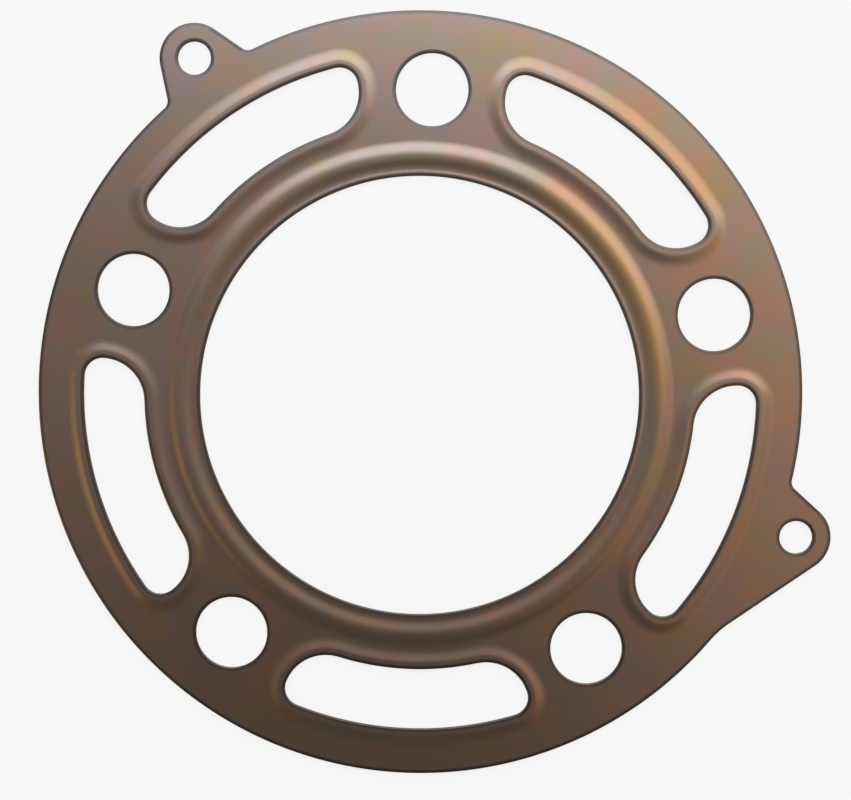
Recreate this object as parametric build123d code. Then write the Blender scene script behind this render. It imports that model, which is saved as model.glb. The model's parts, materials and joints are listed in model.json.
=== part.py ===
"""Embossed single-sheet cylinder head gasket for a small two-stroke engine.

One stamped steel sheet, open over the cylinder bore, with a raised sealing bead around the bore and
a raised bead around each of the coolant slots. It lies flat: the origin is on the bore's axis in the
plane of the sheet's underside, +Z points up out of the raised side, and one stud hole is on +Y.
Lengths are in millimetres and angles in degrees.
"""
from build123d import *
import math
import os

# Sheet
sheet_thickness = 0.5

# Bore, and the full bead pressed around it
bore_diameter = 55.0
bore_rim_width = 0.9        # flat rim between the cut edge of the bore and the foot of the bead
bore_bead_width = 3.4       # from foot to foot
bore_bead_height = 0.18
bore_crest_radius = 5.0

# Coolant slots, and the bead pressed around each of them
slot_width = 7.6            # radial
slot_outer_corner = 2.3     # corner radii in plan
slot_inner_corner = 5.4
slot_bead_width = 2.3       # from its foot to the cut edge of the slot
slot_bead_height = 0.15
slot_crest_radius = 3.0
slot_lip_width = 0.8        # from the bead's crest to the cut edge
slot_lip_lean = 3.0         # fall of the lip towards the cut edge

# Flat lands left between the beads, the stud holes and the rim
bead_land = 0.4             # between the bore bead and the slot beads
stud_inner_land = 1.85      # between the bore bead and a stud hole
stud_side_land = 2.1        # between a slot bead and a stud hole beside it
outer_land = 3.45           # between the slot beads and the rim of the sheet

# Stud holes, evenly spaced on a circle, with one slot between each two of them
stud_count = 5
stud_hole_diameter = 9.0

# Eyes: the round tabs that stand out of the rim, on the centre lines of two of the slots
eye_hole_diameter = 4.1
eye_wall = 2.3              # sheet left around the hole
eye_reach = 2.6             # from the rim of the sheet to the hole's centre
eye_neck_lean = 22.0        # lean of a short flank away from the radial direction
eye_neck_fillet = 1.2
eye_brace_lean = 55.0       # lean of the long flank that braces one of the eyes
eye_brace_fillet = 12.0
plain_eye_slot = 1          # the slots that the eyes stand over, counted from the first stud hole
braced_eye_slot = 4

# Radii that follow, from the bore outwards
bore_radius = bore_diameter / 2
bead_inner_foot = bore_radius + bore_rim_width
bead_outer_foot = bead_inner_foot + bore_bead_width
slot_inner_radius = bead_outer_foot + bead_land + slot_bead_width
slot_outer_radius = slot_inner_radius + slot_width
rim_radius = slot_outer_radius + slot_bead_width + outer_land
stud_hole_radius = stud_hole_diameter / 2
stud_circle_radius = bead_outer_foot + stud_inner_land + stud_hole_radius
eye_hole_radius = eye_hole_diameter / 2
eye_radius = eye_hole_radius + eye_wall
eye_circle_radius = rim_radius + eye_reach

# Angles that follow
pitch = 360 / stud_count
first_stud_angle = 90
slot_end_clearance = stud_hole_radius + stud_side_land + slot_bead_width
slot_half_sweep = pitch / 2 - math.degrees(math.asin(slot_end_clearance / stud_circle_radius))


def slot_angle(index):
    """Direction of a slot's centre line, counted anticlockwise from the stud hole on +Y."""
    return first_stud_angle + (index - 0.5) * pitch


def polar(radius, angle):
    """Point at a radius and an angle about the bore's axis."""
    return Vector(radius * math.cos(math.radians(angle)), radius * math.sin(math.radians(angle)))


def side_sweep(offset, radius):
    """Angle that a distance off a radial line covers at a radius."""
    return math.degrees(math.asin(offset / radius))


class SlotPlan:
    """Plan of a slot lying on +X: four round corners between two arcs and two radial ends."""

    def __init__(self):
        """Find the corner centres, with the inner corner held to the length of the slot's end."""
        self.outer_corner = min(slot_outer_corner, 0.45 * slot_width)
        outer_centre = slot_outer_radius - self.outer_corner
        self.end_outer = math.sqrt(outer_centre**2 - self.outer_corner**2)
        longest = (self.end_outer**2 - slot_inner_radius**2) / (2 * slot_inner_radius)
        self.inner_corner = min(slot_inner_corner, 0.97 * longest)
        inner_centre = slot_inner_radius + self.inner_corner
        self.end_inner = math.sqrt(inner_centre**2 - self.inner_corner**2)
        self.outer_turn = slot_half_sweep - side_sweep(self.outer_corner, outer_centre)
        self.inner_turn = slot_half_sweep - side_sweep(self.inner_corner, inner_centre)
        self.outer_centre = polar(outer_centre, self.outer_turn)
        self.inner_centre = polar(inner_centre, self.inner_turn)

    def face(self, grown):
        """The slot's outline, grown outwards by a distance, as a face."""
        half = slot_half_sweep
        end_normal = Vector(grown, 0).rotate(Axis.Z, half + 90)
        upper = [
            CenterArc(self.outer_centre, self.outer_corner + grown, self.outer_turn,
                      half + 90 - self.outer_turn),
            Line(polar(self.end_outer, half) + end_normal, polar(self.end_inner, half) + end_normal),
            CenterArc(self.inner_centre, self.inner_corner + grown, half + 90,
                      self.inner_turn + 90 - half),
        ]
        lower = [edge.mirror(Plane.XZ) for edge in upper]
        arcs = [
            CenterArc((0, 0), slot_outer_radius + grown, -self.outer_turn, 2 * self.outer_turn),
            CenterArc((0, 0), slot_inner_radius - grown, -self.inner_turn, 2 * self.inner_turn),
        ]
        return make_face(arcs + upper + lower)


def bead_flank(run, height, crest_radius):
    """Length and slope of a bead's straight flank, and the crest radius that its width has room for."""
    radius = min(crest_radius, 0.48 * (run**2 / height + height))
    to_crest = 2 * radius - height
    slope = 2 * math.atan((run - math.sqrt(run**2 - height * to_crest)) / to_crest)
    return (run - radius * math.sin(slope)) / math.cos(slope), math.degrees(slope), radius


def pressed_sheet(underside):
    """Section of the sheet where it is pressed, from the line of its underside."""
    upper_side = [Pos(0, sheet_thickness) * edge for edge in underside]
    start = Line(underside[0] @ 0, upper_side[0] @ 0)
    end = Line(underside[-1] @ 1, upper_side[-1] @ 1)
    return make_face(underside + upper_side + [start, end])


def bore_bead_section():
    """Section of the sheet from the bore's edge to the outer foot of its bead."""
    flank, slope, radius = bead_flank(bore_bead_width / 2, bore_bead_height, bore_crest_radius)
    rim = Line((bore_radius, 0), (bead_inner_foot, 0))
    rise = PolarLine(rim @ 1, flank, slope)
    crest = JernArc(rise @ 1, rise % 1, radius, -2 * slope)
    fall = PolarLine(crest @ 1, flank, -slope)
    return pressed_sheet([rim, rise, crest, fall])


def slot_bead_section():
    """Section of the sheet from a slot's cut edge, at x = 0, to the foot of its bead."""
    run = slot_bead_width - slot_lip_width
    flank, slope, radius = bead_flank(run, slot_bead_height, slot_crest_radius)
    lean = math.radians(slot_lip_lean)
    lip_length = (slot_lip_width - radius * math.sin(lean)) / math.cos(lean)
    rise = PolarLine((slot_bead_width, 0), flank, 180 - slope)
    crest = JernArc(rise @ 1, rise % 1, radius, slope + slot_lip_lean)
    lip = PolarLine(crest @ 1, lip_length, 180 + slot_lip_lean)
    return pressed_sheet([rise, crest, lip])


def turned_bead(section, centre, radius, start, sweep):
    """A bead section carried round an arc, with the cut edge at the arc's radius."""
    upright = Plane.XZ * Pos(radius, 0) * section
    return Pos(*centre) * Rot(0, 0, start) * revolve(upright, Axis.Z, sweep)


def slot_bead():
    """The bead around a slot lying on +X, as the arcs and straights of its plan."""
    plan = SlotPlan()
    half = slot_half_sweep
    outwards = slot_bead_section()
    inwards = outwards.mirror(Plane.YZ)
    end = Plane.XZ * outwards
    end_length = plan.end_outer - plan.end_inner
    upper = [
        turned_bead(outwards, plan.outer_centre, plan.outer_corner, plan.outer_turn,
                    half + 90 - plan.outer_turn),
        Pos(*polar(plan.end_outer, half)) * Rot(0, 0, half + 90) * extrude(end, end_length, (0, 1, 0)),
        turned_bead(outwards, plan.inner_centre, plan.inner_corner, half + 90,
                    plan.inner_turn + 90 - half),
    ]
    lower = [piece.mirror(Plane.XZ) for piece in upper]
    arcs = [
        turned_bead(outwards, (0, 0), slot_outer_radius, -plan.outer_turn, 2 * plan.outer_turn),
        turned_bead(inwards, (0, 0), slot_inner_radius, -plan.inner_turn, 2 * plan.inner_turn),
    ]
    return arcs + upper + lower


class Flank:
    """Straight side of an eye that stands on +X, from its tangent point to the rim of the sheet."""

    def __init__(self, side, lean, fillet_radius):
        """Run the side down from the eye at its lean, and hold its fillet to the side's length."""
        slope = math.radians(lean)
        normal = Vector(math.sin(slope), side * math.cos(slope))
        along = Vector(-math.cos(slope), side * math.sin(slope))
        self.top = Vector(eye_circle_radius, 0) + normal * eye_radius
        back = -self.top.dot(along)
        run = back - math.sqrt(back**2 - self.top.length**2 + rim_radius**2)
        self.root = self.top + along * run
        self.foot = self.top + along * (run + outer_land / 2)
        turn = math.acos(self.top.dot(normal) / rim_radius)
        self.fillet_radius = min(fillet_radius, 0.9 * run / math.tan(turn / 2))


def with_eye(outline, index, sides):
    """The sheet's outline with an eye added on a slot's centre line, blended into the rim."""
    turn = Rot(0, 0, slot_angle(index))
    ahead, behind = sides
    neck = make_face(Polyline(ahead.top, ahead.foot, (0, 0), behind.foot, behind.top, close=True))
    outline += turn * (Pos(eye_circle_radius, 0) * Circle(eye_radius) + neck)
    for side in sides:
        root = (turn * Pos(*side.root)).position
        outline = fillet(outline.vertices().sort_by_distance(root)[0], side.fillet_radius)
    return outline


def flat_sheet():
    """The flat lands of the sheet, left open at every bead and hole."""
    neck = Flank(1, eye_neck_lean, eye_neck_fillet), Flank(-1, eye_neck_lean, eye_neck_fillet)
    brace = neck[0], Flank(-1, eye_brace_lean, eye_brace_fillet)
    outline = Sketch() + Circle(rim_radius)
    outline = with_eye(outline, plain_eye_slot, neck)
    outline = with_eye(outline, braced_eye_slot, brace)
    slot_zone = SlotPlan().face(slot_bead_width)
    openings = [Circle(bead_outer_foot)]
    for index in range(stud_count):
        stud_place = polar(stud_circle_radius, first_stud_angle + index * pitch)
        openings.append(Pos(*stud_place) * Circle(stud_hole_radius))
        openings.append(Rot(0, 0, slot_angle(index)) * slot_zone)
    for index in (plain_eye_slot, braced_eye_slot):
        openings.append(Pos(*polar(eye_circle_radius, slot_angle(index))) * Circle(eye_hole_radius))
    return extrude(outline - openings, sheet_thickness)


def gasket_sheet():
    """The whole sheet: its flat lands, the bore bead and the slot beads, as one solid."""
    bore_bead = revolve(Plane.XZ * bore_bead_section(), Axis.Z)
    one_slot = slot_bead()
    beads = [Rot(0, 0, slot_angle(index)) * piece for index in range(stud_count) for piece in one_slot]
    return flat_sheet().fuse(bore_bead, *beads).clean()


if __name__ == "__main__":
    os.makedirs("parts", exist_ok=True)
    export_step(gasket_sheet(), "parts/gasket_sheet.step")
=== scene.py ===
import json
import math
import bmesh
import bpy
from mathutils.kdtree import KDTree
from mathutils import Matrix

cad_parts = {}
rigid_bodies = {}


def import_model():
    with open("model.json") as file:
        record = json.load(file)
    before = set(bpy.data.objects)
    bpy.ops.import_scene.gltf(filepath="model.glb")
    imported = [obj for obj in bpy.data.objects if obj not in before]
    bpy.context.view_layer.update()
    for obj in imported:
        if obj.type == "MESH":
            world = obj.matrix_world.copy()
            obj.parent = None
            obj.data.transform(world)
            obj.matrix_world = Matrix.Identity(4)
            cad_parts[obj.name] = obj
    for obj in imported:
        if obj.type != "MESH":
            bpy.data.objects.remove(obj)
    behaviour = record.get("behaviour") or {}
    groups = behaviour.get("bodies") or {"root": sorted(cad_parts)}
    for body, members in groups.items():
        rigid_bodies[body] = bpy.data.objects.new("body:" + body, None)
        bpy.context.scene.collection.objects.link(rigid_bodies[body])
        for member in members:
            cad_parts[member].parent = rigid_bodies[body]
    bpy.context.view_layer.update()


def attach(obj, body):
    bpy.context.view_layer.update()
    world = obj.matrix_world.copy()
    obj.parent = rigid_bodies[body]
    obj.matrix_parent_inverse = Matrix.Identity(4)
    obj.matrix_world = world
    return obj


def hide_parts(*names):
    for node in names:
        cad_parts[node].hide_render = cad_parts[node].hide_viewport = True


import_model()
bpy.ops.object.select_all(action="DESELECT")
mm = 0.001


# The camera looks straight down on the gasket from a hand's length above it, a little towards the
# stud hole on +Y, and is turned so that the gasket lies slightly clockwise in view.
camera_distance = 200.18 * mm
camera_place = (3.422 * mm, 10.674 * mm)
camera_tilt = -3.1318
camera_pan = 0.8799
camera_roll = 2.4632
camera_lens = 67.562
film_width = 36
nearest_seen = 10 * mm
bpy.ops.object.camera_add(
    location=(*camera_place, camera_distance),
    rotation=[math.radians(angle) for angle in (camera_tilt, camera_pan, camera_roll)],
)
camera = bpy.context.object
camera.data.sensor_width = film_width
camera.data.lens = camera_lens
camera.data.clip_start = nearest_seen
bpy.context.scene.camera = camera
bpy.context.scene.view_settings.view_transform = "Standard"


# The gasket lies on plain white paper, lit so brightly that it shows only a trace of the gasket's
# shadow. Paper is dull, and gives an even white with no shine.
def linear(hex_colour):
    """An sRGB hex colour as the linear values that a shader takes."""
    channels = [int(hex_colour[place:place + 2], 16) / 255 for place in (1, 3, 5)]
    return (*(c / 12.92 if c <= 0.04045 else ((c + 0.055) / 1.055) ** 2.4 for c in channels), 1.0)


def add_node(tree, kind, settings=None, links=None):
    """One shader node, with its settings and the sockets that feed it."""
    node = tree.nodes.new(kind)
    for name, value in (settings or {}).items():
        if isinstance(name, int) or name in node.inputs:
            node.inputs[name].default_value = value
        else:
            setattr(node, name, value)
    for name, source in (links or {}).items():
        tree.links.new(source, node.inputs[name])
    return node


paper_size = 3
paper_gap = 0.05 * mm         # a hair under the gasket, so that the two do not touch
paper_white = "#F7F7F7"
paper_shadow_share = 0.1
bpy.ops.mesh.primitive_plane_add(size=paper_size, location=(0, 0, -paper_gap))
table = bpy.context.object
table.name = "table"
paper = bpy.data.materials.new("white_paper")
paper.use_nodes = True
tree = paper.node_tree
tree.nodes.clear()
rays = add_node(tree, "ShaderNodeLightPath")
seen = add_node(tree, "ShaderNodeMath", {"operation": "MAXIMUM"},
                {0: rays.outputs["Is Camera Ray"], 1: rays.outputs["Is Glossy Ray"]})
seen = add_node(tree, "ShaderNodeMath", {"operation": "MAXIMUM"},
                {0: seen.outputs[0], 1: rays.outputs["Is Transmission Ray"]})
glow_share = add_node(tree, "ShaderNodeMath", {"operation": "MULTIPLY", 1: 1 - paper_shadow_share},
                      {0: seen.outputs[0]})
dull = add_node(tree, "ShaderNodeBsdfDiffuse", {"Color": linear(paper_white)})
glow = add_node(tree, "ShaderNodeEmission", {"Color": linear(paper_white), "Strength": 1.0})
mixed = add_node(tree, "ShaderNodeMixShader", None,
                 {0: glow_share.outputs[0], 1: dull.outputs[0], 2: glow.outputs[0]})
add_node(tree, "ShaderNodeOutputMaterial", None, {"Surface": mixed.outputs[0]})
table.data.materials.append(paper)


# A broad soft box stands beyond the stud hole on +Y with a dimmer one above it and a small cool one to
# its left. Weak warm boxes to the right and the lower left fill in, so that the satin sheet falls
# from bright to dark across its width.
box_distance = 0.5
room_white = "#FFFFFF"
room_glow = 0.2


def soft_box(name, size, lean, bearing, power, colour):
    """A square soft box that faces the gasket, leant off the zenith towards a bearing."""
    slope, way = math.radians(lean), math.radians(bearing)
    aim = (math.sin(slope) * math.cos(way), math.sin(slope) * math.sin(way), math.cos(slope))
    bpy.ops.object.light_add(
        type="AREA",
        location=[box_distance * part for part in aim],
        rotation=(0, slope, way),
    )
    box = bpy.context.object
    box.name = name
    box.data.shape = "SQUARE"
    box.data.size = size
    box.data.energy = power
    box.data.color = colour


soft_box("main_soft_box", 0.6, 45, 75, 2.4, (0.99, 1.0, 0.89))
soft_box("high_soft_box", 0.6, 25, 90, 0.39, (1.0, 0.93, 1.0))
soft_box("cool_soft_box", 0.3, 35, 105, 0.64, (0.25, 0.52, 1.0))
soft_box("right_soft_box", 0.4, 35, 0, 0.352, (1.0, 0.74, 0.50))
soft_box("lower_soft_box", 0.25, 50, 200, 0.393, (1.0, 0.81, 0.43))
world = bpy.data.worlds.new("room")
world.use_nodes = True
room_light = world.node_tree.nodes["Background"]
room_light.inputs["Color"].default_value = linear(room_white)
room_light.inputs["Strength"].default_value = room_glow
bpy.context.scene.world = world


# The gasket is one sheet of coated steel, blanked, pierced and embossed in a press. Its bore has a
# narrow flat rim and a full bead: a round crest between two gentle flanks that swell out of the flat.
sheet_thickness = 0.5 * mm
bore_radius = 27.5 * mm
bore_rim_width = 0.73 * mm
bore_bead_width = 3.74 * mm
bore_bead_height = 0.18 * mm
bore_foot_radius = 4.5 * mm
bore_crest_radius = 5.0 * mm
bore_rim_lift = 0.02 * mm   # rise of the flat rim towards its edge
edge_band = 0.52 * mm       # narrow ring of sheet along every cut edge
wear_band = 0.9 * mm        # the wider ring in which the coating is worn
bore_facets = 240
bend_steps = 4              # rings in each bend of a bead


def bead_side(run, height, foot_radius, crest_radius):
    """Rings of a bead from its foot's bend, up its flank, to its crest, as distance and height."""
    across = 2 * (foot_radius + crest_radius) - height
    slope = 2 * math.atan((run - math.sqrt(run**2 - height * across)) / across)
    turns = [slope * step / bend_steps for step in range(bend_steps + 1)]
    foot = [(foot_radius * math.sin(turn), foot_radius * (1 - math.cos(turn))) for turn in turns]
    crest = [(run - crest_radius * math.sin(turn), height - crest_radius * (1 - math.cos(turn)))
             for turn in reversed(turns)]
    return foot + crest


def press(rings):
    """Press the selected face into a bead by insetting it from ring to ring."""
    for (reach, height), (next_reach, next_height) in zip(rings, rings[1:]):
        bpy.ops.mesh.inset(thickness=next_reach - reach, depth=next_height - height)


rise = bead_side(bore_bead_width / 2, bore_bead_height, bore_foot_radius, bore_crest_radius)
fall = [(bore_bead_width - reach, height) for reach, height in reversed(rise)]
bore_edge = bore_bead_width + bore_rim_width
bpy.ops.mesh.primitive_circle_add(
    vertices=bore_facets,
    radius=bore_radius + bore_edge,
    fill_type="NGON",
    location=(0, 0, sheet_thickness),
    enter_editmode=True,
)
gasket = bpy.context.object
gasket.name = "gasket"
bpy.ops.object.mode_set(mode="OBJECT")
bpy.ops.object.transform_apply(location=True)
bpy.ops.object.mode_set(mode="EDIT")
bpy.ops.mesh.select_mode(type="VERT")
bpy.ops.mesh.select_all(action="SELECT")
press(rise + fall[1:] + [(bore_edge - edge_band, bore_rim_lift), (bore_edge, bore_rim_lift)])


# Five round stud holes are pierced between the slots, evenly spaced on one circle. They have no
# bead: the sheet around them is clamped flat under the cylinder head.
hole_facets = 72


def pierce(distance, angle, radius):
    """Draw a round hole at a distance and an angle about the bore, inside two narrow rings of sheet."""
    bpy.ops.mesh.primitive_circle_add(
        vertices=hole_facets,
        radius=radius + wear_band,
        fill_type="NGON",
        location=(distance * math.cos(angle), distance * math.sin(angle), sheet_thickness),
    )
    bpy.ops.mesh.inset(thickness=wear_band - edge_band, depth=0)
    bpy.ops.mesh.inset(thickness=edge_band, depth=0)


stud_count = 5
stud_hole_radius = 4.5 * mm
stud_circle_radius = 38.15 * mm
pitch = 2 * math.pi / stud_count
first_stud_angle = math.pi / 2
for index in range(stud_count):
    pierce(stud_circle_radius, first_stud_angle + index * pitch, stud_hole_radius)


# Five curved coolant slots are pierced through raised beads. Each bead climbs to a crest close to
# the cut edge, and its lip leans down from there to the edge.
slot_inner_radius = 34.5 * mm
slot_outer_radius = 42.1 * mm
slot_outer_corner = 2.3 * mm
slot_inner_corner = 5.4 * mm
slot_bead_width = 2.47 * mm
slot_bead_height = 0.15 * mm
slot_foot_radius = 6.5 * mm
slot_crest_radius = 3.0 * mm
slot_lip_width = 0.75 * mm
slot_lip_lean = math.radians(1)
stud_side_land = 1.93 * mm
longest_step = 0.8 * mm         # of an arc's facets
widest_step = math.radians(7)
join_gap = 0.02 * mm


class Pen:
    """A vertex drawn along a line of arcs and straights, as the outline of an opening is scribed."""

    def __init__(self, radius, angle):
        """Put the first vertex at a radius and an angle about the bore, facing anticlockwise."""
        bpy.ops.mesh.select_all(action="DESELECT")
        bpy.ops.mesh.primitive_plane_add(size=mm)
        bpy.ops.mesh.merge(type="CENTER")
        self.x, self.y = radius * math.cos(angle), radius * math.sin(angle)
        self.heading = angle + math.pi / 2
        bpy.ops.transform.translate(value=(self.x, self.y, sheet_thickness))

    def arc(self, radius, turn):
        """Go round to the left by a turn, or to the right where the turn is negative."""
        side = math.copysign(radius, turn)
        centre = (self.x - side * math.sin(self.heading), self.y + side * math.cos(self.heading))
        steps = max(2, math.ceil(abs(turn) / widest_step), math.ceil(radius * abs(turn) / longest_step))
        bpy.ops.mesh.spin(steps=steps, angle=turn, center=(*centre, 0), axis=(0, 0, -1))
        self.heading += turn
        self.x = centre[0] + side * math.sin(self.heading)
        self.y = centre[1] - side * math.cos(self.heading)

    def straight(self, length):
        """Go straight on."""
        step = (length * math.cos(self.heading), length * math.sin(self.heading), 0)
        bpy.ops.mesh.extrude_region_move(TRANSFORM_OT_translate={"value": step})
        self.x += step[0]
        self.y += step[1]

    def close(self):
        """Join the last vertex to the first."""
        bpy.ops.mesh.select_linked()
        bpy.ops.mesh.remove_doubles(threshold=join_gap)


slot_end_clearance = stud_hole_radius + stud_side_land + slot_bead_width
slot_half_sweep = pitch / 2 - math.asin(slot_end_clearance / stud_circle_radius)
outer_centre_radius = slot_outer_radius - slot_outer_corner
inner_centre_radius = slot_inner_radius + slot_inner_corner
outer_turn = slot_half_sweep - math.asin(slot_outer_corner / outer_centre_radius)
inner_turn = slot_half_sweep - math.asin(slot_inner_corner / inner_centre_radius)
end_length = (math.sqrt(outer_centre_radius**2 - slot_outer_corner**2)
              - math.sqrt(inner_centre_radius**2 - slot_inner_corner**2))
slot_end = [
    (slot_outer_corner + slot_bead_width, slot_half_sweep + math.pi / 2 - outer_turn),
    (slot_inner_corner + slot_bead_width, inner_turn + math.pi / 2 - slot_half_sweep),
]
pen = Pen(slot_outer_radius + slot_bead_width, first_stud_angle + pitch / 2 - outer_turn)
pen.arc(slot_outer_radius + slot_bead_width, 2 * outer_turn)
pen.arc(*slot_end[0])
pen.straight(end_length)
pen.arc(*slot_end[1])
pen.arc(slot_inner_radius - slot_bead_width, -2 * inner_turn)
pen.arc(*slot_end[1])
pen.straight(end_length)
pen.arc(*slot_end[0])
pen.close()
bpy.ops.mesh.edge_face_add()
drawn = bmesh.from_edit_mesh(gasket.data)
if next(face for face in drawn.faces if face.select).normal.z < 0:
    bpy.ops.mesh.flip_normals()
crest_reach = slot_bead_width - slot_lip_width
rise = bead_side(crest_reach, slot_bead_height, slot_foot_radius, slot_crest_radius)
lip = [(reach, slot_bead_height - (reach - crest_reach) * math.tan(slot_lip_lean))
       for reach in (slot_bead_width - edge_band, slot_bead_width)]
press(rise + lip)
bpy.ops.mesh.select_linked()
for copy in range(1, stud_count):
    bpy.ops.mesh.duplicate()
    bpy.ops.transform.rotate(value=pitch, orient_axis="Z", center_override=(0, 0, 0))


# The rim is a circle with two eyes standing out of it, each a round tab with a small hole. One has
# two short necks. The other has a long straight brace on one side, blended into the rim.
outer_land = 3.28 * mm
eye_hole_radius = 2.05 * mm
eye_wall = 2.3 * mm
eye_reach = 2.6 * mm
eye_neck = (math.radians(22), 1.2 * mm)      # lean off the radial direction, and fillet radius
eye_brace = (math.radians(55), 12.0 * mm)
rim_radius = slot_outer_radius + slot_bead_width + outer_land
eye_radius = eye_hole_radius + eye_wall
eye_circle_radius = rim_radius + eye_reach
plain_eye_angle = first_stud_angle + pitch / 2
braced_eye_angle = first_stud_angle + pitch * 7 / 2
for angle in (plain_eye_angle, braced_eye_angle):
    pierce(eye_circle_radius, angle, eye_hole_radius)


def eye_side(lean, fillet):
    """Where one side of an eye leaves the rim, the turn of its fillet, and the length of its flank."""
    reach = eye_radius + fillet
    start = (eye_circle_radius + reach * math.sin(lean), reach * math.cos(lean))
    back = start[0] * math.cos(lean) - start[1] * math.sin(lean)
    length = back - math.sqrt(back**2 - start[0]**2 - start[1]**2 + (rim_radius + fillet)**2)
    centre = (start[0] - length * math.cos(lean), start[1] + length * math.sin(lean))
    sweep = math.atan2(centre[1], centre[0])
    return sweep, math.pi / 2 - lean - sweep, length


def draw_eye(pen, behind, ahead):
    """Go round an eye, up the side behind and down the side ahead."""
    turn_behind, length_behind = eye_side(*behind)[1:]
    turn_ahead, length_ahead = eye_side(*ahead)[1:]
    pen.arc(behind[1], -turn_behind)
    pen.straight(length_behind)
    pen.arc(eye_radius, math.pi - behind[0] - ahead[0])
    pen.straight(length_ahead)
    pen.arc(ahead[1], -turn_ahead)


neck_sweep = eye_side(*eye_neck)[0]
brace_sweep = eye_side(*eye_brace)[0]
between_eyes = braced_eye_angle - plain_eye_angle
pen = Pen(rim_radius, plain_eye_angle + neck_sweep)
pen.arc(rim_radius, between_eyes - neck_sweep - brace_sweep)
draw_eye(pen, eye_brace, eye_neck)
pen.arc(rim_radius, 2 * math.pi - between_eyes - 2 * neck_sweep)
draw_eye(pen, eye_neck, eye_neck)
pen.close()
# The seam tells the cut outline of the rim from the inner line, up to which the flat is filled.
bpy.ops.mesh.mark_seam()
bpy.ops.mesh.edge_face_add()
bpy.ops.mesh.inset(thickness=edge_band, depth=0)
bpy.ops.mesh.inset(thickness=wear_band - edge_band, depth=0)
bpy.ops.mesh.mark_seam(clear=True)
bpy.ops.mesh.delete(type="ONLY_FACE")


# The flat of the sheet fills what is left between the beads, the holes and the rim. The press leaves
# its cut edges square, with only a hair's rounding. The mesh carries how near each point is to a cut
# edge, from 0 where the coating is unworn to 1 at the edge, for the wear in the finish and for the
# painted shade along the edges.
edge_roll = 0.12 * mm
edge_roll_steps = 3
sharpest_smooth = math.radians(40)
square_edge = math.radians(50)
most_land_corners = 20          # a face with more is the lid of a hole, which the press punches out
bpy.ops.mesh.select_mode(type="EDGE")
bpy.ops.mesh.select_all(action="DESELECT")
drawn = bmesh.from_edit_mesh(gasket.data)
for edge in drawn.edges:
    edge.select = edge.is_boundary and not edge.seam
bmesh.update_edit_mesh(gasket.data)
bpy.ops.mesh.fill()
bpy.ops.mesh.select_mode(type="FACE")
bpy.ops.mesh.select_all(action="DESELECT")
drawn = bmesh.from_edit_mesh(gasket.data)
for face in drawn.faces:
    face.select = len(face.verts) > most_land_corners
bmesh.update_edit_mesh(gasket.data)
bpy.ops.mesh.delete(type="FACE")
drawn = bmesh.from_edit_mesh(gasket.data)
cut = [vert.co.copy() for vert in drawn.verts if vert.is_boundary]
nearest = KDTree(len(cut))
for index, corner in enumerate(cut):
    nearest.insert(corner, index)
nearest.balance()
nearness = drawn.verts.layers.float.new("cut_edge_nearness")
for vert in drawn.verts:
    vert[nearness] = max(0, 1 - nearest.find(vert.co)[2] / wear_band)
bmesh.update_edit_mesh(gasket.data)
bpy.ops.mesh.select_all(action="SELECT")
bpy.ops.mesh.extrude_region_move(TRANSFORM_OT_translate={"value": (0, 0, -sheet_thickness)})
bpy.ops.mesh.select_all(action="SELECT")
bpy.ops.mesh.normals_make_consistent(inside=False)
bpy.ops.object.mode_set(mode="OBJECT")
rolled = gasket.modifiers.new("rolled_edges", "BEVEL")
rolled.limit_method = "ANGLE"
rolled.angle_limit = square_edge
rolled.width = edge_roll
rolled.segments = edge_roll_steps
bpy.ops.object.modifier_apply(modifier=rolled.name)
bpy.ops.object.shade_smooth_by_angle(angle=sharpest_smooth)
lands = gasket.modifiers.new("flat_lands", "WEIGHTED_NORMAL")
lands.keep_sharp = True
bpy.ops.object.modifier_apply(modifier=lands.name)


# Its finish is a bronze-brown coating, baked thin on satin steel, which shines through it with a soft
# wide highlight. The film's thickness wanders and tints it grey, tan, olive and red. A golden tint is
# painted on one side of the bore bead, where its highlight shines orange: a painted highlight. Near the
# cut edges it is worn greyer, and the bare steel of the edges is painted dark: painted shade on the
# rolled rims and the cut walls.
coat_brown = "#897261"
coat_grey = "#82746E"
coat_tan = "#927052"
coat_olive = "#7F765E"
coat_red = "#946E65"
# A painted highlight tint, for one side of the bore bead.
gold_highlight_paint = "#9C7E5A"
worn_grey = "#84736C"
# Painted shade: a dark colour laid on the cut edges and their rolled rims.
edge_painted_shade = "#5A4E45"
painted_shade_width = 0.3 * mm           # from the cut edge, before the painted shade fades into the worn coating
painted_highlight_radius = 29.8 * mm       # the ring and the bearing about which a golden highlight tint is painted
painted_highlight_bearing = math.radians(29)
painted_highlight_width = (0.4 * mm, 1.3 * mm)     # either side of them: to where it fades, and where it ends
painted_highlight_sweep = (math.radians(18), math.radians(37))
tan_patch = 9.0                 # millimetres across the largest clouds
red_patch = 7.0
tan_place = (145.0, 332.5, 204.0)       # where each pattern of clouds is laid on the sheet
red_place = (285.0, 213.5, 153.0)
tint_stops = (0.40, 0.50, 0.60)
satin_grain = 0.35              # coarser than the real grain, so that it shows
grain_relief = 0.01 * mm
satin_roughness = (0.26, 0.32)


def fade(distance, full, none):
    """1 up to a full distance, falling to 0 at a greater one."""
    return min(1, max(0, (none - distance) / (none - full)))


# Painted highlight: a golden tint on one side of the bore bead, where its highlight shines orange.
golden = gasket.data.attributes.new("painted_gold_highlight", "FLOAT", "POINT")
for vert, amount in zip(gasket.data.vertices, golden.data):
    turn = math.remainder(math.atan2(vert.co.y, vert.co.x) - painted_highlight_bearing, 2 * math.pi)
    aside = vert.co.xy.length - painted_highlight_radius
    amount.value = fade(abs(turn), *painted_highlight_sweep) * fade(abs(aside), *painted_highlight_width)

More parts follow.
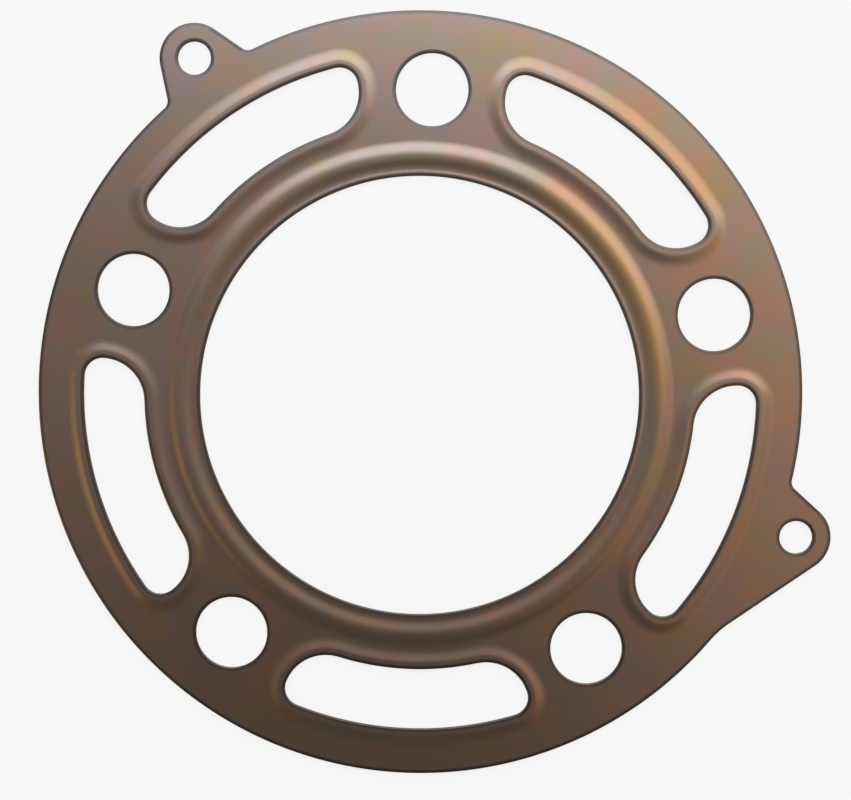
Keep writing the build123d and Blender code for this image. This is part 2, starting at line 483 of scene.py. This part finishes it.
per_mm = (1 / mm, 1 / mm, 1 / mm)
coating = bpy.data.materials.new("bronze_coated_steel")
coating.use_nodes = True
tree = coating.node_tree
tree.nodes.clear()
place = add_node(tree, "ShaderNodeTexCoord")


def tint_patches(size, place_on_sheet, colours):
    """Cloudy patches of three tints, of a size in millimetres and moved to a place on the sheet."""
    moved = add_node(tree, "ShaderNodeMapping",
                     {"Location": place_on_sheet, "Scale": per_mm},
                     {"Vector": place.outputs["Object"]})
    clouds = add_node(tree, "ShaderNodeTexNoise", {"Scale": 1 / size, "Detail": 4.0, "Roughness": 0.7},
                      {"Vector": moved.outputs[0]})
    tints = add_node(tree, "ShaderNodeValToRGB", None, {"Fac": clouds.outputs["Fac"]})
    tints.color_ramp.elements.new(0.5)
    for element, stop, colour in zip(tints.color_ramp.elements, tint_stops, colours):
        element.position = stop
        element.color = linear(colour)
    return clouds, tints


tan_clouds, tan_tints = tint_patches(tan_patch, tan_place, (coat_grey, coat_brown, coat_tan))
red_clouds, red_tints = tint_patches(red_patch, red_place, (coat_olive, coat_brown, coat_red))
coat = add_node(tree, "ShaderNodeMix", {"data_type": "RGBA", 0: 0.5},
                {6: tan_tints.outputs["Color"], 7: red_tints.outputs["Color"]})
# The painted golden highlight tint is mixed into the coating's colour here.
painted_highlight_amount = add_node(tree, "ShaderNodeAttribute", {"attribute_name": "painted_gold_highlight"})
with_painted_highlight = add_node(tree, "ShaderNodeMix", {"data_type": "RGBA", 7: linear(gold_highlight_paint)},
                  {0: painted_highlight_amount.outputs["Fac"], 6: coat.outputs[2]})
near = add_node(tree, "ShaderNodeAttribute", {"attribute_name": "cut_edge_nearness"})
band_start = 1 - edge_band / wear_band
wear = add_node(tree, "ShaderNodeMapRange", {"From Max": band_start}, {"Value": near.outputs["Fac"]})
worn = add_node(tree, "ShaderNodeMix", {"data_type": "RGBA", 7: linear(worn_grey)},
                {0: wear.outputs[0], 6: with_painted_highlight.outputs[2]})
# Painted shade: the last ring of sheet at every cut edge, with its rolled rim and wall, turns dark.
painted_edge_shade = add_node(tree, "ShaderNodeMapRange",
                {"From Min": band_start, "From Max": 1 - painted_shade_width / wear_band},
                {"Value": near.outputs["Fac"]})
colour = add_node(tree, "ShaderNodeMix", {"data_type": "RGBA", 7: linear(edge_painted_shade)},
                  {0: painted_edge_shade.outputs[0], 6: worn.outputs[2]})
fine = add_node(tree, "ShaderNodeMapping", {"Scale": per_mm}, {"Vector": place.outputs["Object"]})
grain = add_node(tree, "ShaderNodeTexNoise", {"Scale": 1 / satin_grain, "Detail": 2.0, "Roughness": 0.6},
                 {"Vector": fine.outputs[0]})
bump = add_node(tree, "ShaderNodeBump", {"Strength": 0.1, "Distance": grain_relief},
                {"Height": grain.outputs["Fac"]})
roughness = add_node(tree, "ShaderNodeMapRange",
                     {"To Min": satin_roughness[0], "To Max": satin_roughness[1]},
                     {"Value": tan_clouds.outputs["Fac"]})
shader = add_node(tree, "ShaderNodeBsdfPrincipled", {"Metallic": 1.0},
                  {"Base Color": colour.outputs[2], "Roughness": roughness.outputs[0],
                   "Normal": bump.outputs[0]})
add_node(tree, "ShaderNodeOutputMaterial", None, {"Surface": shader.outputs[0]})
gasket.data.materials.append(coating)
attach(gasket, "root")
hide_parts("gasket_sheet")
